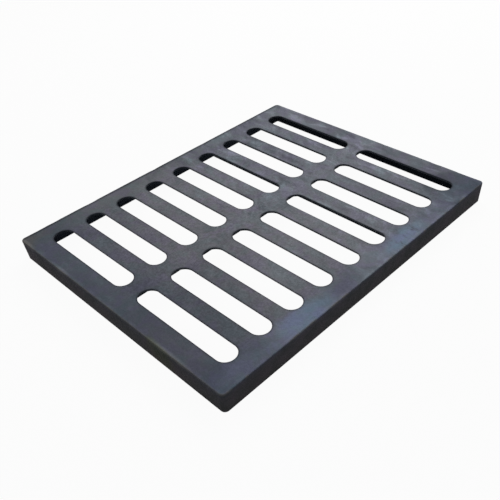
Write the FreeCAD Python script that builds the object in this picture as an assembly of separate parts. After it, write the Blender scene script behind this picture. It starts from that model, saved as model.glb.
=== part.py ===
"""Slotted cast grate for a drainage trench, in millimetres.

One casting: a thin plate with two rows of round-ended slots, a drafted skirt around it,
and underside ribs that stop short of the skirt's foot. The origin is at the middle of the
foot's plane, X runs along a row of slots, Y along each slot, and Z points up.
"""
import FreeCAD, Part
import math
import os

from FreeCAD import Vector

# Overall size, over the top edge
LENGTH = 500.0
WIDTH = 400.0
HEIGHT = 30.0

# Plate and skirt; the skirt draws in towards its foot, and its wall thickens upwards
PLATE_THICKNESS = 5.0
SKIRT_FOOT = 2.5
SKIRT_DRAFT = math.radians(3.0)
CORE_DRAFT = math.radians(2.0)
CORNER_RADIUS = 6.0
RIM_EDGE_RADIUS = 1.5
FOOT_EDGE_RADIUS = 0.3

# Slots, measured on the top face; they widen downwards so that nothing jams in them
SLOTS_IN_ROW = 9
ROWS = 2
SLOT_WIDTH = 26.0
END_MARGIN = 30.0
SIDE_MARGIN = 28.0
ROW_GAP = 26.0
SLOT_DRAFT = math.radians(36.0)
SLOT_EDGE_CHAMFER = 0.8

# Underside ribs: one between the rows, and one after every third slot
RIB_DEPTH = 15.0
RIB_FOOT = 3.0
SLOTS_PER_BAY = 3
ROOT_RADIUS = 2.5

# How far a cutter runs past the face that it opens
CUT_PAST = 1.0

SLOT_PITCH = (LENGTH - 2 * END_MARGIN - SLOT_WIDTH) / (SLOTS_IN_ROW - 1)
SLOT_LENGTH = (WIDTH - 2 * SIDE_MARGIN - (ROWS - 1) * ROW_GAP) / ROWS
ROW_PITCH = SLOT_LENGTH + ROW_GAP
PLATE_UNDERSIDE = HEIGHT - PLATE_THICKNESS
RIB_BOTTOM = HEIGHT - RIB_DEPTH
SKIRT_INSET = HEIGHT * math.tan(SKIRT_DRAFT)
INNER_CORNER_RADIUS = ROOT_RADIUS


def tapered_block(box, inset, z_low, z_high, corner_radius):
    """Block with sloping sides and round corners; its upper end is drawn in by inset."""
    x_low, x_high, y_low, y_high = box
    block = Part.makeWedge(
        x_low, z_low, -y_high, -y_high + inset, x_low + inset,
        x_high, z_high, -y_low, -y_low - inset, x_high - inset,
    )
    block.rotate(Vector(0, 0, 0), Vector(1, 0, 0), 90)
    corners = [edge for edge in block.Edges if edge.BoundBox.ZLength > (z_high - z_low) / 2]
    return block.makeFillet(corner_radius, corners)


def level_edges(solid, z):
    """Edges of a solid that lie wholly at height z."""
    tolerance = 1e-6
    return [
        edge
        for edge in solid.Edges
        if abs(edge.BoundBox.ZMin - z) < tolerance and abs(edge.BoundBox.ZMax - z) < tolerance
    ]


def skirt_block():
    """Solid block inside the skirt's outer faces, with its rim and foot edges rounded."""
    half_length = LENGTH / 2 - SKIRT_INSET
    half_width = WIDTH / 2 - SKIRT_INSET
    box = (-half_length, half_length, -half_width, half_width)
    block = tapered_block(box, -SKIRT_INSET, 0.0, HEIGHT, CORNER_RADIUS)
    block = block.makeFillet(RIM_EDGE_RADIUS, level_edges(block, HEIGHT))
    return block.makeFillet(FOOT_EDGE_RADIUS, level_edges(block, 0.0))


def hollow_box(z):
    """X and Y limits of the space inside the skirt at height z."""
    inset = SKIRT_INSET + SKIRT_FOOT + z * math.tan(CORE_DRAFT)
    half_length = LENGTH / 2 - inset
    half_width = WIDTH / 2 - inset
    return (-half_length, half_length, -half_width, half_width)


def core_block(box, z_low, z_high):
    """Part of the core that leaves the underside hollow; it draws out downwards."""
    inset = (z_high - z_low) * math.tan(CORE_DRAFT)
    return tapered_block(box, inset, z_low, z_high, INNER_CORNER_RADIUS)


def rib_lines(slots, pitch, slots_per_bay):
    """Places midway between slots of a centred row where ribs part it into bays."""
    first_slot = -pitch * (slots - 1) / 2
    return [
        first_slot + (slot - 0.5) * pitch for slot in range(slots_per_bay, slots, slots_per_bay)
    ]


def spans_between(low, high, ribs):
    """Clear spans from low to high, with the width of each rib's foot left out."""
    starts = [low] + [rib + RIB_FOOT / 2 for rib in ribs]
    ends = [rib - RIB_FOOT / 2 for rib in ribs] + [high]
    return list(zip(starts, ends))


def underside_core():
    """Space inside the skirt up to the ribs, and the bays between the ribs up to the plate."""
    core = core_block(hollow_box(-CUT_PAST), -CUT_PAST, RIB_BOTTOM)
    x_low, x_high, y_low, y_high = hollow_box(RIB_BOTTOM)
    x_spans = spans_between(x_low, x_high, rib_lines(SLOTS_IN_ROW, SLOT_PITCH, SLOTS_PER_BAY))
    y_spans = spans_between(y_low, y_high, rib_lines(ROWS, ROW_PITCH, 1))
    bays = []
    for x_span in x_spans:
        for y_span in y_spans:
            bay = core_block(x_span + y_span, RIB_BOTTOM, PLATE_UNDERSIDE)
            bays.append(bay.makeFillet(ROOT_RADIUS, level_edges(bay, PLATE_UNDERSIDE)))
    return core.fuse(bays).removeSplitter()


def slot_outline(x, y, z):
    """Round-ended outline of the slot centred at x, y, at height z."""
    radius = SLOT_WIDTH / 2 + (HEIGHT - z) * math.tan(SLOT_DRAFT)
    half_straight = (SLOT_LENGTH - SLOT_WIDTH) / 2
    far = Vector(x, y + half_straight, z)
    near = Vector(x, y - half_straight, z)
    up = Vector(0, 0, 1)
    side = Vector(radius, 0, 0)
    edges = [
        Part.Arc(Part.Circle(far, up, radius), 0, math.pi),
        Part.LineSegment(far - side, near - side),
        Part.Arc(Part.Circle(near, up, radius), math.pi, 2 * math.pi),
        Part.LineSegment(near + side, far + side),
    ]
    return Part.Wire([edge.toShape() for edge in edges])


def slot_cutters():
    """One tapered cutter for each slot of each row."""
    cutters = []
    for row in range(ROWS):
        y = (row - (ROWS - 1) / 2) * ROW_PITCH
        for slot in range(SLOTS_IN_ROW):
            x = (slot - (SLOTS_IN_ROW - 1) / 2) * SLOT_PITCH
            lower = slot_outline(x, y, PLATE_UNDERSIDE - CUT_PAST)
            upper = slot_outline(x, y, HEIGHT + CUT_PAST)
            cutters.append(Part.makeLoft([lower, upper], True, True))
    return cutters


def slot_edges(solid):
    """Edges of the top face that lie around the slots, away from the rim."""
    x_limit = (LENGTH - END_MARGIN) / 2
    y_limit = (WIDTH - SIDE_MARGIN) / 2
    found = []
    for edge in level_edges(solid, HEIGHT):
        middle = edge.BoundBox.Center
        if abs(middle.x) < x_limit and abs(middle.y) < y_limit:
            found.append(edge)
    return found


def make_grate():
    """The whole casting."""
    casting = skirt_block().cut(underside_core()).cut(slot_cutters())
    return casting.makeChamfer(SLOT_EDGE_CHAMFER, slot_edges(casting))


os.makedirs("parts", exist_ok=True)
grate = make_grate()
grate.exportStep("parts/grate.step")
print("grate solids", len(grate.Solids), "valid", grate.isValid(), "cm3", round(grate.Volume / 1000, 1))
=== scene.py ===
"""Looks of the cast trench drain grate: its mesh, coating, floor, light and camera."""
import math
import random

import bmesh
import bpy
from mathutils import Matrix, Vector, noise


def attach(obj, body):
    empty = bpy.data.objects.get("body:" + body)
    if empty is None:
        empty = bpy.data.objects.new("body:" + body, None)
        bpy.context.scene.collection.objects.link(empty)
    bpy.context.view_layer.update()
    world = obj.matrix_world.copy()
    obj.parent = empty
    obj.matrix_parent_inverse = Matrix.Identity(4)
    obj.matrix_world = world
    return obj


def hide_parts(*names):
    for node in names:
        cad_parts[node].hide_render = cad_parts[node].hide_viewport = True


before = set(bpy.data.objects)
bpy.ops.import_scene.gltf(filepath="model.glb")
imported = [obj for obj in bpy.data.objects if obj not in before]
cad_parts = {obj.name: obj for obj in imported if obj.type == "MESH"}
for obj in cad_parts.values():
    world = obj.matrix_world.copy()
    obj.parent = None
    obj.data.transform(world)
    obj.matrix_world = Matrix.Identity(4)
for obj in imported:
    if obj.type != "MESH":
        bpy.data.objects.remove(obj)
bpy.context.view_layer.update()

MM = 0.001

# Camera: it looks at a point of the top face, in metres and degrees
CAMERA_TARGET = Vector((-0.0553, -0.0711, 0.030))
CAMERA_DISTANCE = 0.8251
CAMERA_AZIMUTH = math.radians(-42.80)
CAMERA_ELEVATION = math.radians(38.52)
CAMERA_ROLL = math.radians(-4.72)
CAMERA_LENS = 47.15
CAMERA_SENSOR = 36.0
CAMERA_SHIFT = (-0.0318, 0.0007)
CAMERA_CLIP_START = 0.01

# Light: an even fill from all round and one soft box, in metres and watts
WHITE = (1.0, 1.0, 1.0, 1.0)
FILL_STRENGTH = 0.32
BACKGROUND_STRENGTH = 0.98
LAMP_PLACE = Vector((1.07, 0.59, 1.15))
LAMP_TARGET = Vector((0.10, 0.02, 0.0))
LAMP_SIZE = 1.12
LAMP_POWER = 25.6

# Floor: its size and its drop below the foot in metres, its grey, and how white the camera sees it
FLOOR_SIZE = 6.0
FLOOR_DROP = 0.0002
FLOOR_GREY = (0.50, 0.50, 0.50, 1.0)
FLOOR_WHITENESS = 0.955

# The casting's own measures, in millimetres and degrees
LENGTH, WIDTH, HEIGHT = 500.0, 400.0, 30.0
PLATE_UNDERSIDE = 25.0
RIB_BOTTOM = 15.0
RIB_HALF = 1.5
SKIRT_FOOT = 2.5
SKIRT_LEAN = 3.0
CORE_LEAN = 2.0
CORNER_RADIUS = 6.0
RIM_RADIUS = 1.5
FOOT_RADIUS = 0.3
ROOT_RADIUS = 2.5
LEAST_RADIUS = 0.05
END_MARGIN = 30.0
SIDE_MARGIN = 28.0
ROW_GAP = 26.0
SLOT_RADIUS = 13.0
SLOT_LEAN = 36.0
SLOT_EDGE_RADIUS = 0.5
SKIRT_SLOPE = math.tan(math.radians(SKIRT_LEAN))
CORE_SLOPE = math.tan(math.radians(CORE_LEAN))

# Slots, numbered along X from the middle one; the straight sides run from SLOT_NEAR to SLOT_FAR
LAST_SLOT = 4
SLOTS_PER_BAY = 3
SLOT_PITCH = (LENGTH / 2 - END_MARGIN - SLOT_RADIUS) / LAST_SLOT
SLOT_NEAR = ROW_GAP / 2 + SLOT_RADIUS
SLOT_FAR = WIDTH / 2 - SIDE_MARGIN - SLOT_RADIUS
SLOT_MIDDLE = (SLOT_NEAR + SLOT_FAR) / 2
SLOT_HALF = (SLOT_FAR - SLOT_NEAR) / 2

# Steps of the mesh: along a slot's straight side, round a quarter of its end, and across a bar
SIDE_STEPS = 28
QUARTER_STEPS = 10
BAR_SHARES = (0.0, 0.22, 0.5, 0.78, 1.0)
SHARP_CORNER_SHARES = (0.26, 0.50, 0.71, 0.88, 1.0)
ARC_STEPS = 6
HALF_ARC = ARC_STEPS // 2
ARC_START = QUARTER_STEPS // 2 - HALF_ARC
SLOT_EDGE_STEPS = 5
RIM_STEPS = 6
FOOT_STEPS = 3
ROOT_STEPS = 5
SKIRT_LEVELS = (22.0, 15.0, 8.0)
FOOT_LEVELS = (0.0, 3.0, 9.0, RIB_BOTTOM)
MERGE_STEPS_PER_MM = 2000
STRAIGHT = [
    SLOT_NEAR + (SLOT_FAR - SLOT_NEAR) * step / SIDE_STEPS for step in range(SIDE_STEPS + 1)
]

# Indexes on a cell's outline, which starts at SLOT_NEAR on the right and goes round by the far side
FAR_MIDDLE = SIDE_STEPS + QUARTER_STEPS
LEFT_START = FAR_MIDDLE + QUARTER_STEPS
LEFT_END = LEFT_START + SIDE_STEPS
OUTLINE_STEPS = LEFT_END + 2 * QUARTER_STEPS
RIGHT_FAR = SIDE_STEPS + QUARTER_STEPS // 2
LEFT_FAR = RIGHT_FAR + QUARTER_STEPS
LEFT_NEAR = LEFT_END + QUARTER_STEPS // 2
RIGHT_NEAR = LEFT_NEAR + QUARTER_STEPS
RUNS = {
    "right": [index % OUTLINE_STEPS for index in range(RIGHT_NEAR, RIGHT_FAR + OUTLINE_STEPS + 1)],
    "far": range(RIGHT_FAR, LEFT_FAR + 1),
    "left": range(LEFT_FAR, LEFT_NEAR + 1),
    "near": range(LEFT_NEAR, RIGHT_NEAR + 1),
}

# Uneven skin of the casting, in millimetres: slow swell, ripple, and knocks along the rim
SWELL = 0.10
SWELL_SCALE = 0.014
RIPPLE = 0.05
RIPPLE_SCALE = 0.06
RIPPLE_START = Vector((7.0, 3.0, 1.0))
EVENS_OUT_BELOW = 4.0
KNOCKS = 26
KNOCK_SEED = 11
KNOCK_SPAN = 0.97
KNOCK_REACH = (6.0, 11.0)
KNOCK_DEPTH = (0.12, 0.40)
SHARP_ANGLE = math.radians(35.0)

# Colours of the rubbed top face, and tints of its margins, blotches and rim
# Painted shade with a painted bluish reflection, laid towards the left end
LEFT_END_SHADE_AND_REFLECTION = (0.073, 0.083, 0.106, 1.0)
BAR_SLATE = (0.132, 0.133, 0.150, 1.0)
# Painted shade, laid towards the right end of the bars
RIGHT_END_SHADE = (0.107, 0.113, 0.136, 1.0)
# Painted sheen: the pale blue of reflections on the near margin
PAINTED_SHEEN_BLUE = (0.150, 0.186, 0.243, 1.0)
PALE_SMEAR = (0.174, 0.188, 0.223, 1.0)
DARK_SMEAR = (0.070, 0.073, 0.092, 1.0)
DARK_SLATE = (0.060, 0.065, 0.080, 1.0)
WORN_GREY = (0.090, 0.088, 0.090, 1.0)
# Painted shade of the lines round the slots and along the far rim
PAINTED_EDGE_SHADE = (0.012, 0.014, 0.020, 1.0)
BROWNED = (0.130, 0.124, 0.116, 1.0)
# Painted reflection: bluish tint of the near margin
NEAR_REFLECTION_TINT = (0.93, 0.99, 1.08, 1.0)
FAR_TINT = (0.93, 0.96, 0.93, 1.0)
VIOLET_TINT = (1.03, 0.97, 1.09, 1.0)
TEAL_TINT = (0.93, 1.02, 1.00, 1.0)
RUBBED_TINT = (1.20, 1.20, 1.18, 1.0)
SCUFFED_TINT = (1.42, 1.38, 1.30, 1.0)
OLIVE_TINT = (0.98, 1.06, 0.82, 1.0)

# Colours of the sides, the inside and the underside, where the inside and the underside are painted
# shade
SIDE_COAT = (0.072, 0.072, 0.080, 1.0)
# Painted light towards the foot of the sides
SIDE_FOOT_LIGHT = (0.092, 0.088, 0.094, 1.0)
UNDER_RIM = (0.070, 0.074, 0.092, 1.0)
ROSE_TINT = (1.15, 1.07, 1.12, 1.0)
MOSS_TINT = (0.84, 0.88, 0.85, 1.0)
INSIDE_SHADE = (0.028, 0.036, 0.050, 1.0)
INSIDE_BOUNCE_LIGHT = (0.078, 0.094, 0.126, 1.0)
INSIDE_DUST = (0.082, 0.090, 0.104, 1.0)
UNDER_SHADE = (0.050, 0.051, 0.056, 1.0)
UNDER_DUST = (0.085, 0.083, 0.080, 1.0)

# Noises of the coating: scale per metre, detail and roughness
DRIFT_NOISE = (18.0, 2.0, 0.5)
BROAD_NOISE = (9.0, 3.0, 0.5)
BLOTCH_NOISE = (34.0, 4.0, 0.55)
HUE_NOISE = (48.0, 3.0, 0.6)
WORN_NOISE = (55.0, 5.0, 0.6)
STAIN_NOISE = (58.0, 5.0, 0.65)
DUST_NOISE = (60.0, 5.0, 0.6)
RIPPLE_NOISE = (160.0, 3.0, 0.5)
FINE_NOISE = (330.0, 5.0, 0.70)
DRIFT = (0.035, 0.035, 0.0)

# Smears: turn about Z, start, scales along X, Y and Z per metre, detail and roughness
SLANTS = (0.75, (7.0, 0.0, 0.0), (80.0, 24.0, 1.0), 4.0, 0.6)
STREAKS = (0.0, (6.0, 0.0, 0.0), (75.0, 20.0, 1.0), 5.0, 0.62)
BAR_STREAKS = (0.0, (6.0, 0.0, 0.0), (100.0, 11.0, 1.0), 3.0, 0.5)
STREAK_SHARE = 0.6

# Patches of the top face, in metres: middle, reach along X and Y, and turn
# Painted sheen: pale bluish reflections on the near margin
SHEEN_PATCHES = (
    (-0.113, -0.187, 0.056, 0.018, 0.0),
    (0.072, -0.188, 0.044, 0.014, 0.0),
)
RUBBED_PATCHES = (
    (0.025, 0.000, 0.105, 0.017, 0.0),
    (0.062, 0.092, 0.012, 0.075, 0.0),
    (-0.060, -0.110, 0.045, 0.050, 0.0),
    (-0.212, -0.188, 0.032, 0.016, 0.0),
    (0.092, 0.188, 0.030, 0.012, 0.0),
    (0.236, 0.020, 0.014, 0.018, 0.0),
)
SMEARED_PATCHES = (
    (0.236, 0.060, 0.022, 0.130, 0.0),
    (0.140, 0.000, 0.130, 0.024, 0.06),
)
DULL_PATCHES = (
    (-0.036, -0.188, 0.032, 0.018, 0.0),
    (0.132, -0.105, 0.036, 0.075, 0.0),
    (0.236, -0.070, 0.022, 0.040, 0.0),
    (0.238, 0.114, 0.016, 0.020, 0.0),
    (-0.234, -0.100, 0.020, 0.070, 0.0),
)
DARK_PATCHES = ((0.244, -0.180, 0.095, 0.070, 0.2),)
WORN_PATCHES = ((-0.246, 0.194, 0.030, 0.022, 0.0),)
SCUFFED_PATCHES = (
    (-0.250, -0.115, 0.014, 0.034, 0.0),
    (-0.250, 0.100, 0.014, 0.016, 0.0),
    (-0.250, 0.186, 0.014, 0.020, 0.0),
)
OLIVE_PATCHES = ((-0.250, -0.096, 0.006, 0.026, 0.0),)
PATCH_RAGGED = 1.6
PATCH_EDGE = (2.1, 1.1)

# How much of each colour shows where it is laid
CLOUD_SHARE = 0.30
SHEEN_SHARE = 0.85
RUBBED_SHARE = 0.30
DULL_SHARE = 0.52
DARK_SHARE = 0.75
WORN_SHARE = 0.8
BROWNED_SHARE = 0.7
WALL_DUST_SHARE = 0.3

# Bands: the values between which an effect grows, and in some the effect at each of them

# Bands of the Z of the direction that a face looks in
FACING_UP = (0.15, 0.70)
FACING_DOWN = (-0.70, -0.95)

# Bands along X, in metres
LEFT_SHADE_ALONG = (-0.210, -0.055)
LEFT_SHADE_RAGGED = 0.08
RIGHT_SHADE_ALONG = (-0.03, 0.11)
SMEARED_ALONG = (-0.12, 0.10, 0.15, 1.0)
WORN_ALONG = (-0.2350, -0.2485, 0.0, 0.6)

# Bands along Y, in metres; the bars' one is measured from the middle of a row
NEAR_REFLECTION_MARGIN = (-0.150, -0.185)
FAR_MARGIN = (0.150, 0.185)
BOUNCE_FAR_WALL = (0.140, 0.185)
FAR_RIM_SHADE_LINE = (0.1925, 0.1975, 0.0, 0.70)
ON_BAR = (0.082, 0.056)

# Bands of height, in metres
SIDE_FOOT_LIGHT_HEIGHT = (0.0200, 0.0020)
UNDER_RIM_HEIGHT = (0.0220, 0.0280)
INSIDE_BOUNCE_HEIGHT = (0.0260, 0.0100)
WORN_HEIGHT = (0.0265, 0.0290)
SCUFFED_HEIGHT = (0.0230, 0.0290)

# Bands of the distance from the rim or from a slot's edge, in metres
RUBBED_RIM = (0.0065, 0.0030)
SCUFFED_RIM = (0.0065, 0.0025)
WORN_RIM = (0.0030, 0.0008)
INSIDE_RIM = (0.0020, 0.0034)
GRAIN_RIM = (0.018, 0.042, 0.4, 1.0)
SLOT_SHADE_LINE = (0.0030, 0.0010, 0.0, 0.75)
SLOT_SHADE = (0.0050, 0.0010, 0.0, 0.14)

# Bands of the noises, and shares of two noises that are blended
CLOUD_BLOTCH_SHARE = 0.5
CLOUD_BAND = (0.54, 0.38)
PALE_SMEAR_BAND = (0.50, 0.64)
DARK_SMEAR_BAND = (0.49, 0.37)
VIOLET_BAND = (0.49, 0.60)
TEAL_BAND = (0.51, 0.40)
RUBBED_BAND = (0.40, 0.58)
ROSE_BAND = (0.49, 0.62)
MOSS_BAND = (0.50, 0.38)
DUST_BAND = (0.45, 0.80)
WORN_BAND = (0.48, 0.64)
POLISH_BAND = (0.35, 0.65, 0.08, 0.16)
GRAIN_BAND = (0.32, 0.68, 0.75, 1.25)
GRAIN_FINE_SHARE = 0.7

# Gloss of the coating, and heights of its bumps in metres
ROUGHNESS_LEAST = 0.45
ROUGHNESS_SPREAD = 0.22
SPECULAR_LEVEL = 0.005
COAT_ROUGHNESS = 0.40
COAT_IOR = 1.45
FINE_HEIGHT = 0.00022
RIPPLE_HEIGHT = 0.00022
BLOTCH_HEIGHT = 0.00025


class Graph:
    """Short calls for the nodes of one material or world."""

    def __init__(self, owner):
        owner.use_nodes = True
        self.tree = owner.node_tree

    def link(self, value, socket):
        """Joins an output to a socket, or sets the socket to a constant."""
        if isinstance(value, bpy.types.NodeSocket):
            self.tree.links.new(value, socket)
        else:
            socket.default_value = value

    def new(self, kind):
        """A new node of a kind."""
        return self.tree.nodes.new("ShaderNode" + kind)

    def math(self, operation, *values):
        """Result of a sum on values or outputs."""
        node = self.new("Math")
        node.operation = operation
        for value, socket in zip(values, node.inputs):
            self.link(value, socket)
        return node.outputs[0]

    def times(self, first, second):
        """One value times another."""
        return self.math("MULTIPLY", first, second)

    def length(self, across, along):
        """Length of a slanting line from its two sides."""
        square = self.math("MULTIPLY_ADD", across, across, self.times(along, along))
        return self.math("SQRT", square)

    def blend(self, share, first, second):
        """A share of the first value and the rest of the second."""
        return self.math("MULTIPLY_ADD", first, share, self.times(second, 1.0 - share))

    def step(self, value, low=0.0, high=1.0, to_low=0.0, to_high=1.0):
        """Smooth step of a value from low to high."""
        node = self.new("MapRange")
        node.interpolation_type = "SMOOTHSTEP"
        numbers = (value, low, high, to_low, to_high)
        for name, number in zip(("Value", "From Min", "From Max", "To Min", "To Max"), numbers):
            self.link(number, node.inputs[name])
        return node.outputs["Result"]

    def mix(self, share, first, second, blend="MIX"):
        """Mixes two colours."""
        node = self.new("Mix")
        node.data_type = "RGBA"
        node.blend_type = blend
        colours = {socket.name: socket for socket in node.inputs if socket.type == "RGBA"}
        self.link(share, node.inputs["Factor"])
        self.link(first, colours["A"])
        self.link(second, colours["B"])
        return next(socket for socket in node.outputs if socket.type == "RGBA")

    def tint(self, share, colour, tint):
        """Colour times a tint, by a share."""
        return self.mix(share, colour, self.mix(1.0, colour, tint, "MULTIPLY"))

    def noise(self, place, scale, detail, roughness, output="Fac"):
        """Cloudy noise at a place."""
        node = self.new("TexNoise")
        self.link(place, node.inputs["Vector"])
        node.inputs["Scale"].default_value = scale
        node.inputs["Detail"].default_value = detail
        node.inputs["Roughness"].default_value = roughness
        return node.outputs[output]

    def smears(self, place, turn, start, scales, detail, roughness):
        """Noise that is drawn out one way: its places are turned about Z, moved and then scaled."""
        turned = self.new("Mapping")
        turned.vector_type = "POINT"
        self.link(place, turned.inputs["Vector"])
        turned.inputs["Rotation"].default_value = (0.0, 0.0, turn)
        turned.inputs["Location"].default_value = start
        scaled = self.new("VectorMath")
        scaled.operation = "MULTIPLY"
        self.link(turned.outputs[0], scaled.inputs[0])
        scaled.inputs[1].default_value = scales
        return self.noise(scaled.outputs[0], 1.0, detail, roughness)

    def split(self, vector):
        """X, Y and Z of a vector."""
        node = self.new("SeparateXYZ")
        self.link(vector, node.inputs[0])
        return node.outputs

    def surface(self, output, share, first, second):
        """Ends the graph in a mix of two shaders; the share is the second one's."""
        mix = self.new("MixShader")
        for value, socket in zip((share, first.outputs[0], second.outputs[0]), mix.inputs):
            self.link(value, socket)
        self.link(mix.outputs[0], self.new(output).inputs["Surface"])


def make_camera():
    """Camera at the photograph's viewing angle."""
    data = bpy.data.cameras.new("camera")
    data.sensor_width = CAMERA_SENSOR
    data.lens = CAMERA_LENS
    data.shift_x, data.shift_y = CAMERA_SHIFT
    data.clip_start = CAMERA_CLIP_START
    camera = bpy.data.objects.new("camera", data)
    bpy.context.scene.collection.objects.link(camera)
    back = Vector((
        math.sin(CAMERA_AZIMUTH) * math.cos(CAMERA_ELEVATION),
        -math.cos(CAMERA_AZIMUTH) * math.cos(CAMERA_ELEVATION),
        math.sin(CAMERA_ELEVATION),
    ))
    level = (-back).to_track_quat("-Z", "Y").to_matrix()
    camera.matrix_world = Matrix.Translation(CAMERA_TARGET + back * CAMERA_DISTANCE) @ (
        level @ Matrix.Rotation(CAMERA_ROLL, 3, "Z")
    ).to_4x4()
    bpy.context.scene.camera = camera


def seen_ray(graph):
    """1 for a ray that shows the background: seen directly, mirrored or through something clear."""
    path = graph.new("LightPath")
    seen = path.outputs["Is Camera Ray"]
    for name in ("Is Glossy Ray", "Is Transmission Ray"):
        seen = graph.math("MAXIMUM", seen, path.outputs[name])
    return seen


def make_world():
    """Soft even light from all round; the camera sees it as white."""
    world = bpy.data.worlds.new("studio")
    bpy.context.scene.world = world
    graph = Graph(world)
    graph.tree.nodes.clear()
    backgrounds = []
    for strength in (FILL_STRENGTH, BACKGROUND_STRENGTH):
        background = graph.new("Background")
        background.inputs["Color"].default_value = WHITE
        background.inputs["Strength"].default_value = strength
        backgrounds.append(background)
    graph.surface("OutputWorld", seen_ray(graph), *backgrounds)


def make_floor():
    """Plain pale floor that the camera sees as white, with the part's own faint shadow."""
    half = FLOOR_SIZE / 2
    corners = ((-half, -half), (half, -half), (half, half), (-half, half))
    mesh = bpy.data.meshes.new("floor")
    mesh.from_pydata([(x, y, -FLOOR_DROP) for x, y in corners], [], [(0, 1, 2, 3)])
    floor = bpy.data.objects.new("floor", mesh)
    bpy.context.scene.collection.objects.link(floor)
    material = bpy.data.materials.new("floor")
    graph = Graph(material)
    graph.tree.nodes.clear()
    grey = graph.new("BsdfDiffuse")
    grey.inputs["Color"].default_value = FLOOR_GREY
    white = graph.new("Emission")
    white.inputs["Color"].default_value = WHITE
    white.inputs["Strength"].default_value = 1.0
    graph.surface("OutputMaterial", graph.times(seen_ray(graph), FLOOR_WHITENESS), grey, white)
    mesh.materials.append(material)


def make_lamp():
    """One soft box above and beyond the far right corner."""
    data = bpy.data.lights.new("overhead", "AREA")
    data.shape = "SQUARE"
    data.size = LAMP_SIZE
    data.energy = LAMP_POWER
    lamp = bpy.data.objects.new("overhead", data)
    bpy.context.scene.collection.objects.link(lamp)
    lamp.location = LAMP_PLACE
    lamp.rotation_mode = "QUATERNION"
    lamp.rotation_quaternion = (LAMP_TARGET - LAMP_PLACE).to_track_quat("-Z", "Y")


class Shell:
    """Faces that share a corner wherever their points coincide."""

    def __init__(self):
        self.points = []
        self.known = {}
        self.faces = []

    def corner(self, point):
        """Number of the corner at a point."""
        key = tuple(round(value * MERGE_STEPS_PER_MM) for value in point)
        if key not in self.known:
            self.known[key] = len(self.points)
            self.points.append(point)
        return self.known[key]

    def face(self, *points):
        """Adds a face, unless fewer than three of its corners are apart."""
        corners = []
        for point in points:
            corner = self.corner(point)
            if corner not in corners:
                corners.append(corner)
        if len(corners) > 2:
            self.faces.append(corners)

    def bands(self, rows):
        """Bands of faces between rows of points."""
        for upper, lower in zip(rows, rows[1:]):
            for left in range(len(upper) - 1):
                self.face(upper[left], upper[left + 1], lower[left + 1], lower[left])


def quarter_out(start, corner, end, radius):
    """Points from start round a cell's corner to end; a radius of 0 leaves the corner sharp."""
    start, corner, end = Vector(start), Vector(corner), Vector(end)
    if radius == 0.0:
        first = [start.lerp(corner, share) for share in SHARP_CORNER_SHARES]
        second = [end.lerp(corner, share) for share in SHARP_CORNER_SHARES]
        return first + second[-2::-1] + [end]
    to_start = (start - corner).normalized()
    to_end = (end - corner).normalized()
    middle = corner + (to_start + to_end) * radius
    arc = []
    for step in range(ARC_STEPS + 1):
        turn = math.pi / 2 * step / ARC_STEPS
        arc.append(middle - to_end * radius * math.cos(turn) - to_start * radius * math.sin(turn))
    first = [start.lerp(arc[0], step / ARC_START) for step in range(1, ARC_START)]
    last = [arc[-1].lerp(end, step / ARC_START) for step in range(1, ARC_START + 1)]
    return first + arc + last


class Cell:
    """Outline of the area round one slot, and the slot's own outline, point for point."""

    def __init__(self, x, low, high, near, far, radii):
        """radii: far right, far left, near left and near right corner."""
        self.x = x
        self.outline = [Vector((high, y)) for y in STRAIGHT]
        self.outline += quarter_out((high, SLOT_FAR), (high, far), (x, far), radii[0])
        self.outline += quarter_out((x, far), (low, far), (low, SLOT_FAR), radii[1])
        self.outline += [Vector((low, y)) for y in STRAIGHT[-2::-1]]
        self.outline += quarter_out((low, SLOT_NEAR), (low, near), (x, near), radii[2])
        self.outline += quarter_out((x, near), (high, near), (high, SLOT_NEAR), radii[3])
        self.outline.pop()

    def slot(self, offset):
        """The slot's outline, its edge moved out by offset."""
        radius = SLOT_RADIUS + offset
        points = [Vector((self.x + radius, y)) for y in STRAIGHT]
        points += self.half_round(radius, SLOT_FAR, 0.0)
        points += [Vector((self.x - radius, y)) for y in STRAIGHT[-2::-1]]
        points += self.half_round(radius, SLOT_NEAR, math.pi)
        points.pop()
        return points

    def half_round(self, radius, y, start):
        """Points round one end of the slot."""
        points = []
        for step in range(1, 2 * QUARTER_STEPS + 1):
            turn = start + math.pi / 2 * step / QUARTER_STEPS
            points.append(Vector((self.x + radius * math.cos(turn), y + radius * math.sin(turn))))
        return points


def raised(flat, z, row):
    """Point of the far row's plan, at height z, in the far or the near row."""
    return (flat.x, flat.y * row, z)


def arc_profile(centre, radius, first, last, steps):
    """Points of a round edge in section, angles in degrees."""
    points = []
    for step in range(steps + 1):
        turn = math.radians(first + (last - first) * step / steps)
        points.append((centre[0] + radius * math.cos(turn), centre[1] + radius * math.sin(turn)))
    return points


def slot_profile():
    """Section of a slot's wall: how far it stands back from the nominal edge, and its height."""
    reach = SLOT_EDGE_RADIUS / math.tan(math.radians(90.0 - SLOT_LEAN) / 2)
    centre = (reach, HEIGHT - SLOT_EDGE_RADIUS)
    section = arc_profile(centre, SLOT_EDGE_RADIUS, 90.0, 180.0 + SLOT_LEAN, SLOT_EDGE_STEPS)
    top = section[-1]
    low = (math.tan(math.radians(SLOT_LEAN)) * (HEIGHT - PLATE_UNDERSIDE), PLATE_UNDERSIDE)
    return section + [((top[0] + low[0]) / 2, (top[1] + low[1]) / 2), low]


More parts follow.
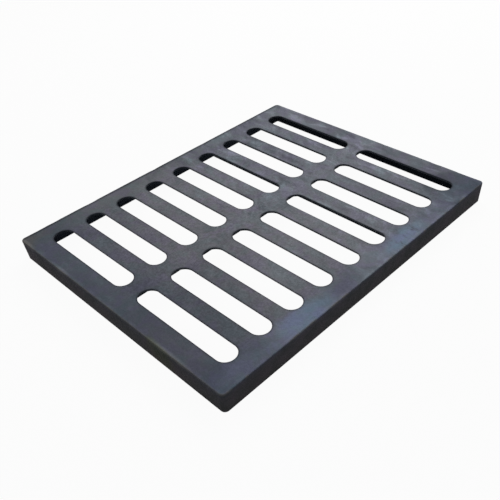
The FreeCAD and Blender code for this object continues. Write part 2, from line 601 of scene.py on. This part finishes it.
def skirt_profile():
    """Section of the skirt's outside: inset from the nominal side, corner radius and height."""
    slant = math.hypot(1.0, SKIRT_SLOPE)
    rim = (-RIM_RADIUS * (SKIRT_SLOPE + slant), HEIGHT - RIM_RADIUS)
    foot = (-(HEIGHT - FOOT_RADIUS) * SKIRT_SLOPE - FOOT_RADIUS * slant, FOOT_RADIUS)
    section = arc_profile(rim, RIM_RADIUS, 90.0, -SKIRT_LEAN, RIM_STEPS)
    section += [(-(HEIGHT - z) * SKIRT_SLOPE, z) for z in SKIRT_LEVELS]
    section += arc_profile(foot, FOOT_RADIUS, -SKIRT_LEAN, -90.0, FOOT_STEPS)
    rows = []
    for out, z in section:
        side = (HEIGHT - z) * SKIRT_SLOPE
        rows.append((-out, CORNER_RADIUS - max(-out - side, 0.0), z))
    return rows


def bay_profile():
    """Section of a bay's wall down to the ribs' bottoms: inset, corner radius and height."""
    slant = math.hypot(1.0, CORE_SLOPE)
    height = PLATE_UNDERSIDE - ROOT_RADIUS
    centre = ((height - RIB_BOTTOM) * CORE_SLOPE + ROOT_RADIUS * slant, height)
    section = arc_profile(centre, ROOT_RADIUS, 90.0, 180.0 - CORE_LEAN, ROOT_STEPS)
    section.append((0.0, RIB_BOTTOM))
    rows = []
    for inset, z in section:
        wall = (z - RIB_BOTTOM) * CORE_SLOPE
        rows.append((inset, max(ROOT_RADIUS - (inset - wall), LEAST_RADIUS), z))
    return rows


def first_in_bay(slot):
    """Whether a slot's left side faces a rib or the left end."""
    return (slot + LAST_SLOT) % SLOTS_PER_BAY == 0


def last_in_bay(slot):
    """Whether a slot's right side faces a rib or the right end."""
    return (slot + LAST_SLOT) % SLOTS_PER_BAY == SLOTS_PER_BAY - 1


def top_cell(slot, inset, radius):
    """Cell of the top face; the outer ones end at the rim, inset from the nominal side."""
    x = slot * SLOT_PITCH
    low, high = x - SLOT_PITCH / 2, x + SLOT_PITCH / 2
    radii = [0.0, 0.0, 0.0, 0.0]
    if slot == LAST_SLOT:
        high = LENGTH / 2 - inset
        radii[0] = radius
    if slot == -LAST_SLOT:
        low = inset - LENGTH / 2
        radii[1] = radius
    return Cell(x, low, high, 0.0, WIDTH / 2 - inset, radii)


def bay_cell(slot, inset, radius):
    """Cell of a bay's roof, or its outline further down the bay's wall."""
    x = slot * SLOT_PITCH
    low, high = x - SLOT_PITCH / 2, x + SLOT_PITCH / 2
    radii = [0.0, 0.0, 0.0, 0.0]
    wall = SKIRT_SLOPE * HEIGHT + SKIRT_FOOT + RIB_BOTTOM * CORE_SLOPE + inset
    if first_in_bay(slot):
        low = wall - LENGTH / 2 if slot == -LAST_SLOT else low + RIB_HALF + inset
        radii[1] = radii[2] = radius
    if last_in_bay(slot):
        high = LENGTH / 2 - wall if slot == LAST_SLOT else high - RIB_HALF - inset
        radii[0] = radii[3] = radius
    return Cell(x, low, high, RIB_HALF + inset, WIDTH / 2 - wall, radii)


def skirt_sides(slot):
    """Sides of a cell that face the skirt."""
    names = ["far"]
    if slot == LAST_SLOT:
        names.append("right")
    if slot == -LAST_SLOT:
        names.append("left")
    return names


def bay_sides(slot):
    """Sides of a cell that face a wall of its bay."""
    names = ["far", "near"]
    if first_in_bay(slot):
        names.append("left")
    if last_in_bay(slot):
        names.append("right")
    return names


def foot_outline(slot, z):
    """Inside of the skirt at height z below the ribs; it passes straight by the bays' corners."""
    outline = bay_cell(slot, (z - RIB_BOTTOM) * CORE_SLOPE, ROOT_RADIUS).outline
    base = bay_cell(slot, 0.0, ROOT_RADIUS).outline
    far_y = outline[FAR_MIDDLE].y
    left_x = outline[LEFT_START].x
    right_x = outline[0].x
    if last_in_bay(slot) and slot != LAST_SLOT:
        for index in range(SIDE_STEPS, FAR_MIDDLE):
            outline[index] = Vector((base[max(index, RIGHT_FAR + HALF_ARC)].x, far_y))
    if first_in_bay(slot) and slot != -LAST_SLOT:
        for index in range(FAR_MIDDLE + 1, LEFT_START + 1):
            outline[index] = Vector((base[min(index, LEFT_FAR - HALF_ARC)].x, far_y))
    if slot == LAST_SLOT:
        for index in range(RIGHT_NEAR - HALF_ARC, OUTLINE_STEPS):
            outline[index] = Vector((right_x, base[max(index, RIGHT_NEAR + HALF_ARC)].y))
    if slot == -LAST_SLOT:
        for index in range(LEFT_END, LEFT_NEAR + HALF_ARC + 1):
            outline[index] = Vector((left_x, base[min(index, LEFT_NEAR - HALF_ARC)].y))
    return outline


def add_plate(shell, slot, row):
    """Top face round one slot, the slot's wall, and the plate's underside round it."""
    section = slot_profile()
    rim_inset, rim_radius, rim_z = skirt_profile()[0]
    roof_inset, roof_radius, roof_z = bay_profile()[0]
    top = top_cell(slot, rim_inset, rim_radius)
    roof = bay_cell(slot, roof_inset, roof_radius)
    rings = []
    pairs = list(zip(top.slot(section[0][0]), top.outline))
    for share in BAR_SHARES[::-1]:
        rings.append([raised(edge.lerp(end, share), rim_z, row) for edge, end in pairs])
    for offset, z in section[1:]:
        rings.append([raised(point, z, row) for point in top.slot(offset)])
    pairs = list(zip(top.slot(section[-1][0]), roof.outline))
    for share in BAR_SHARES[1:]:
        rings.append([raised(edge.lerp(end, share), roof_z, row) for edge, end in pairs])
    shell.bands([ring + ring[:1] for ring in rings])


def add_wall(shell, levels, name, row):
    """Wall on one side of a cell, from its outline at each height; gives its rows of points."""
    rows = [[raised(outline[index], z, row) for index in RUNS[name]] for outline, z in levels]
    shell.bands(rows)
    return rows


def join_walls(shell, first, first_end, second, second_end):
    """Joins the ends of two pieces of the skirt's wall from its foot up to the rib between them."""
    for level in range(len(skirt_profile()) - 1, len(first) - 1):
        shell.face(
            first[level][first_end], second[level][second_end],
            second[level + 1][second_end], first[level + 1][first_end],
        )


def outer_shell():
    """All faces of the casting but the ribs' bottoms, in millimetres."""
    shell = Shell()
    walls = {}
    for row in (1, -1):
        for slot in range(-LAST_SLOT, LAST_SLOT + 1):
            add_plate(shell, slot, row)
            bay = [(bay_cell(slot, *level).outline, z) for *level, z in bay_profile()]
            for name in bay_sides(slot):
                add_wall(shell, bay, name, row)
            skirt = [(top_cell(slot, *level).outline, z) for *level, z in skirt_profile()]
            skirt += [(foot_outline(slot, z), z) for z in FOOT_LEVELS]
            for name in skirt_sides(slot):
                walls[row, slot, name] = add_wall(shell, skirt, name, row)
        for slot in range(-LAST_SLOT, LAST_SLOT):
            if last_in_bay(slot):
                join_walls(shell, walls[row, slot, "far"], 0, walls[row, slot + 1, "far"], -1)
    for slot, name, end in ((LAST_SLOT, "right", 0), (-LAST_SLOT, "left", -1)):
        join_walls(shell, walls[1, slot, name], end, walls[-1, slot, name], end)
    return shell


def rim_knocks():
    """Places on the rim where it was knocked, with each dent's reach and depth."""
    draw = random.Random(KNOCK_SEED)
    knocks = []
    for number in range(KNOCKS):
        share = draw.uniform(-KNOCK_SPAN, KNOCK_SPAN)
        side = draw.choice((-1.0, 1.0))
        if number % 2:
            middle = (side * LENGTH / 2, share * WIDTH / 2, HEIGHT)
        else:
            middle = (share * LENGTH / 2, side * WIDTH / 2, HEIGHT)
        knocks.append((Vector(middle), draw.uniform(*KNOCK_REACH), draw.uniform(*KNOCK_DEPTH)))
    return knocks


def wear(point, knocks):
    """How far the skin lies inside the ideal shape at a point, in millimetres; none at the foot."""
    depth = SWELL * (0.5 + 0.5 * noise.noise(point * SWELL_SCALE))
    depth += RIPPLE * (0.5 + 0.5 * noise.noise(point * RIPPLE_SCALE + RIPPLE_START))
    for middle, reach, most in knocks:
        share = (point - middle).length / reach
        if share < 1.0:
            depth += most * (1.0 - share * share) ** 2
    return depth * min(point.z / EVENS_OUT_BELOW, 1.0)


def make_casting():
    """The whole casting as one closed mesh, in metres."""
    shell = outer_shell()
    mesh = bpy.data.meshes.new("casting")
    mesh.from_pydata(shell.points, [], shell.faces)
    surface = bmesh.new()
    surface.from_mesh(mesh)
    rib_edges = [edge for edge in surface.edges if len(edge.link_faces) == 1]
    bottoms = bmesh.ops.edgeloop_fill(surface, edges=rib_edges)["faces"]
    bmesh.ops.triangulate(surface, faces=bottoms)
    bmesh.ops.recalc_face_normals(surface, faces=surface.faces)
    surface.normal_update()
    knocks = rim_knocks()
    moved = [vertex.co - vertex.normal * wear(vertex.co, knocks) for vertex in surface.verts]
    for vertex, point in zip(surface.verts, moved):
        vertex.co = point * MM
    surface.to_mesh(mesh)
    surface.free()
    mesh.shade_smooth()
    mesh.set_sharp_from_angle(angle=SHARP_ANGLE)
    casting = bpy.data.objects.new("casting", mesh)
    bpy.context.scene.collection.objects.link(casting)
    flats = casting.modifiers.new("flats", "WEIGHTED_NORMAL")
    flats.keep_sharp = True
    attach(casting, "root")
    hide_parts("grate")
    return casting


def row_distance(graph, y):
    """Distance along Y from the middle of the nearer row of slots, in metres."""
    off = graph.math("SUBTRACT", graph.math("ABSOLUTE", y), SLOT_MIDDLE * MM)
    return graph.math("ABSOLUTE", off)


def slot_distance(graph, x, y):
    """Distance on the top face from the nearest slot's nominal edge, in metres."""
    number = graph.math("ROUND", graph.math("DIVIDE", x, SLOT_PITCH * MM))
    number = graph.math("MINIMUM", graph.math("MAXIMUM", number, -LAST_SLOT), LAST_SLOT)
    across = graph.math("SUBTRACT", x, graph.times(number, SLOT_PITCH * MM))
    along = graph.math("SUBTRACT", row_distance(graph, y), SLOT_HALF * MM)
    along = graph.math("MAXIMUM", along, 0.0)
    return graph.math("SUBTRACT", graph.length(across, along), SLOT_RADIUS * MM)


def rim_distance(graph, x, y):
    """Distance inwards from the outer edge with its round corners, seen from above, in metres."""
    radius = CORNER_RADIUS * MM
    past_x = graph.math("SUBTRACT", graph.math("ABSOLUTE", x), LENGTH / 2 * MM - radius)
    past_y = graph.math("SUBTRACT", graph.math("ABSOLUTE", y), WIDTH / 2 * MM - radius)
    out = graph.length(graph.math("MAXIMUM", past_x, 0.0), graph.math("MAXIMUM", past_y, 0.0))
    within = graph.math("MINIMUM", graph.math("MAXIMUM", past_x, past_y), 0.0)
    return graph.math("SUBTRACT", radius, graph.math("ADD", out, within))


def drifted_place(graph, place):
    """Places moved about by a slow swirl."""
    node = graph.new("VectorMath")
    node.operation = "MULTIPLY_ADD"
    swirl = graph.noise(place, *DRIFT_NOISE, "Color")
    for value, socket in zip((swirl, DRIFT, place), node.inputs):
        graph.link(value, socket)
    return node.outputs[0]


class Surface:
    """Places, distances, noises and masks that the layers of the coating share."""

    def __init__(self, graph):
        self.graph = graph
        where = graph.new("TexCoord")
        self.place = where.outputs["Object"]
        self.x, self.y, self.z = graph.split(self.place)
        facing = graph.split(where.outputs["Normal"])[2]
        self.top = graph.step(facing, *FACING_UP)
        self.under = graph.step(facing, *FACING_DOWN)
        self.rim = rim_distance(graph, self.x, self.y)
        self.edge = slot_distance(graph, self.x, self.y)
        self.drifted = drifted_place(graph, self.place)
        self.broad = graph.noise(self.drifted, *BROAD_NOISE)
        self.blotches = graph.noise(self.drifted, *BLOTCH_NOISE)
        self.fine = graph.noise(self.place, *FINE_NOISE)
        self.ripple = graph.noise(self.place, *RIPPLE_NOISE)
        self.dark = graph.times(self.inside(DARK_PATCHES), DARK_SHARE)

    def inside(self, patches):
        """1 inside any of the patches, with soft and ragged edges."""
        graph = self.graph
        mask = 0.0
        for middle_x, middle_y, reach_x, reach_y, turn in patches:
            off_x = graph.math("SUBTRACT", self.x, middle_x)
            off_y = graph.math("SUBTRACT", self.y, middle_y)
            across = graph.times(off_y, math.sin(turn))
            across = graph.math("MULTIPLY_ADD", off_x, math.cos(turn), across)
            across = graph.math("DIVIDE", across, reach_x)
            along = graph.times(off_x, -math.sin(turn))
            along = graph.math("MULTIPLY_ADD", off_y, math.cos(turn), along)
            along = graph.math("DIVIDE", along, reach_y)
            off = graph.math("MULTIPLY_ADD", self.blotches, PATCH_RAGGED, graph.length(across, along))
            mask = graph.math("MAXIMUM", mask, graph.step(off, *PATCH_EDGE))
        return mask

    def lay(self, colour, patches, share, paint):
        """Colour with a share of a paint over some patches."""
        return self.graph.mix(self.graph.times(self.inside(patches), share), colour, paint)


def rubbed_face(graph, at):
    """Rubbed walking face: bluer and darker towards the left end as painted shade with a painted
    bluish reflection, a little darker towards the right end as painted shade, with clouds, pale
    bluish patches of painted sheen on the near margin and paler rubbed patches.
    """
    # Painted shade: darker and bluer towards the left end, the blue a painted reflection, and a
    # little darker towards the right end
    along = graph.math("MULTIPLY_ADD", at.broad, LEFT_SHADE_RAGGED, at.x)
    bars = graph.mix(graph.step(at.x, *RIGHT_SHADE_ALONG), BAR_SLATE, RIGHT_END_SHADE)
    slate = graph.mix(graph.step(along, *LEFT_SHADE_ALONG), LEFT_END_SHADE_AND_REFLECTION, bars)
    clouds = graph.step(graph.blend(CLOUD_BLOTCH_SHARE, at.blotches, at.broad), *CLOUD_BAND)
    slate = graph.mix(graph.times(clouds, CLOUD_SHARE), slate, DARK_SLATE)
    # Painted sheen: pale bluish reflections laid on the near margin
    slate = at.lay(slate, SHEEN_PATCHES, SHEEN_SHARE, PAINTED_SHEEN_BLUE)
    return at.lay(slate, RUBBED_PATCHES, RUBBED_SHARE, PALE_SMEAR)


def smeared(graph, at, slate):
    """Pale and dark smears, strongest towards the right end; on the bars they run along them."""
    streaks = graph.smears(at.drifted, *STREAKS)
    change = graph.math("SUBTRACT", graph.smears(at.drifted, *BAR_STREAKS), streaks)
    on_bar = graph.step(row_distance(graph, at.y), *ON_BAR)
    streaks = graph.math("MULTIPLY_ADD", change, on_bar, streaks)
    smears = graph.blend(STREAK_SHARE, streaks, graph.smears(at.drifted, *SLANTS))
    strength = graph.step(at.x, *SMEARED_ALONG)
    strength = graph.math("MAXIMUM", strength, at.inside(SMEARED_PATCHES))
    for band, paint in ((PALE_SMEAR_BAND, PALE_SMEAR), (DARK_SMEAR_BAND, DARK_SMEAR)):
        slate = graph.mix(graph.times(graph.step(smears, *band), strength), slate, paint)
    slate = at.lay(slate, DULL_PATCHES, DULL_SHARE, DARK_SMEAR)
    return graph.mix(at.dark, slate, DARK_SLATE)


def hued(graph, at, slate):
    """Bluer near margin as a painted reflection, greyer far one, violet and teal blotches, and a rim
    rubbed paler.
    """
    # Painted reflection: a bluish tint over the near margin
    slate = graph.tint(graph.step(at.y, *NEAR_REFLECTION_MARGIN), slate, NEAR_REFLECTION_TINT)
    slate = graph.tint(graph.step(at.y, *FAR_MARGIN), slate, FAR_TINT)
    hue = graph.noise(at.drifted, *HUE_NOISE)
    slate = graph.tint(graph.step(hue, *VIOLET_BAND), slate, VIOLET_TINT)
    slate = graph.tint(graph.step(hue, *TEAL_BAND), slate, TEAL_TINT)
    slate = at.lay(slate, WORN_PATCHES, WORN_SHARE, WORN_GREY)
    rubbed = graph.times(graph.step(at.rim, *RUBBED_RIM), graph.step(at.blotches, *RUBBED_BAND))
    return graph.tint(graph.step(rubbed), slate, RUBBED_TINT)


def shade_lined(graph, at, slate):
    """Painted shade: a dark line round each slot and along the far rim."""
    line = graph.math("MAXIMUM", graph.step(at.edge, *SLOT_SHADE_LINE), graph.step(at.edge, *SLOT_SHADE))
    line = graph.math("MAXIMUM", line, graph.step(at.y, *FAR_RIM_SHADE_LINE))
    return graph.mix(line, slate, PAINTED_EDGE_SHADE)


def side_coat(graph, at):
    """Duller coating of the sides, lighter towards the foot as painted light, a little bluer under
    the rim, with faint stains.
    """
    # Painted light: the sides lighter towards the foot
    side = graph.mix(graph.step(at.z, *SIDE_FOOT_LIGHT_HEIGHT), SIDE_COAT, SIDE_FOOT_LIGHT)
    side = graph.mix(graph.step(at.z, *UNDER_RIM_HEIGHT), side, UNDER_RIM)
    stains = graph.noise(at.place, *STAIN_NOISE)
    side = graph.tint(graph.step(stains, *ROSE_BAND), side, ROSE_TINT)
    return graph.tint(graph.step(stains, *MOSS_BAND), side, MOSS_TINT)


def inside_shade(graph, at, side):
    """Painted shade inside and below: near-black walls inside, lighter low on the far wall as painted
    bounce light, and a darker underside, with some dust; the outer sides keep their own.
    """
    dust = graph.step(graph.noise(at.place, *DUST_NOISE), *DUST_BAND)
    # Painted bounce light: lighter low on the far wall
    low = graph.times(graph.step(at.z, *INSIDE_BOUNCE_HEIGHT), graph.step(at.y, *BOUNCE_FAR_WALL))
    walls = graph.mix(low, INSIDE_SHADE, INSIDE_BOUNCE_LIGHT)
    walls = graph.mix(graph.times(dust, WALL_DUST_SHARE), walls, INSIDE_DUST)
    coat = graph.mix(graph.step(at.rim, *INSIDE_RIM), side, walls)
    # Painted shade: the down-facing faces darker than the sides
    return graph.mix(at.under, coat, graph.mix(dust, UNDER_SHADE, UNDER_DUST))


def worn_rim(graph, at, colour):
    """Rim worn through to browned metal here and there, and scuffed on the left side."""
    worn = graph.step(graph.noise(at.place, *WORN_NOISE), *WORN_BAND)
    worn = graph.math("MAXIMUM", worn, graph.step(at.x, *WORN_ALONG))
    rim = graph.times(graph.step(at.rim, *WORN_RIM), graph.step(at.z, *WORN_HEIGHT))
    colour = graph.mix(graph.times(graph.times(rim, worn), BROWNED_SHARE), colour, BROWNED)
    scuffed = graph.times(graph.step(at.rim, *SCUFFED_RIM), graph.step(at.z, *SCUFFED_HEIGHT))
    scuffed = graph.times(scuffed, at.inside(SCUFFED_PATCHES))
    colour = graph.tint(graph.step(scuffed), colour, SCUFFED_TINT)
    return graph.tint(graph.step(at.inside(OLIVE_PATCHES)), colour, OLIVE_TINT)


def grained(graph, at, colour):
    """Grain all over, weaker near the rim."""
    speckle = graph.step(graph.blend(GRAIN_FINE_SHARE, at.fine, at.ripple), *GRAIN_BAND)
    grain = graph.new("CombineColor")
    for socket in grain.inputs[:3]:
        graph.link(speckle, socket)
    return graph.mix(graph.step(at.rim, *GRAIN_RIM), colour, grain.outputs[0], "MULTIPLY")


def cast_skin(graph, at):
    """Bumps of the cast skin: fine grain, and soft ripples some millimetres wide."""
    height = graph.times(at.fine, FINE_HEIGHT)
    height = graph.math("MULTIPLY_ADD", at.ripple, RIPPLE_HEIGHT, height)
    height = graph.math("MULTIPLY_ADD", at.blotches, BLOTCH_HEIGHT, height)
    bump = graph.new("Bump")
    bump.inputs["Strength"].default_value = 1.0
    bump.inputs["Distance"].default_value = 1.0
    graph.link(height, bump.inputs["Height"])
    return bump.outputs[0]


def coated_iron():
    """Dark coating on a casting, rubbed to slate grey on the walking face."""
    material = bpy.data.materials.new("coated_iron")
    graph = Graph(material)
    at = Surface(graph)
    slate = shade_lined(graph, at, hued(graph, at, smeared(graph, at, rubbed_face(graph, at))))
    black = inside_shade(graph, at, side_coat(graph, at))
    colour = worn_rim(graph, at, graph.mix(at.top, black, slate))
    polish = graph.times(at.top, graph.step(at.broad, *POLISH_BAND))
    skin = cast_skin(graph, at)
    inputs = {
        "Base Color": grained(graph, at, colour),
        "Roughness": graph.math("MULTIPLY_ADD", at.blotches, ROUGHNESS_SPREAD, ROUGHNESS_LEAST),
        "Specular IOR Level": SPECULAR_LEVEL,
        "Coat Weight": graph.times(polish, graph.math("SUBTRACT", 1.0, at.dark)),
        "Coat Roughness": COAT_ROUGHNESS,
        "Coat IOR": COAT_IOR,
        "Normal": skin,
        "Coat Normal": skin,
    }
    shader = graph.tree.nodes["Principled BSDF"]
    for name, value in inputs.items():
        graph.link(value, shader.inputs[name])
    return material


make_camera()
make_world()
make_floor()
make_lamp()
coating = coated_iron()
make_casting().data.materials.append(coating)
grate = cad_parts["grate"]
grate.data.materials.clear()
grate.data.materials.append(coating)

bpy.context.scene.view_settings.view_transform = "Standard"
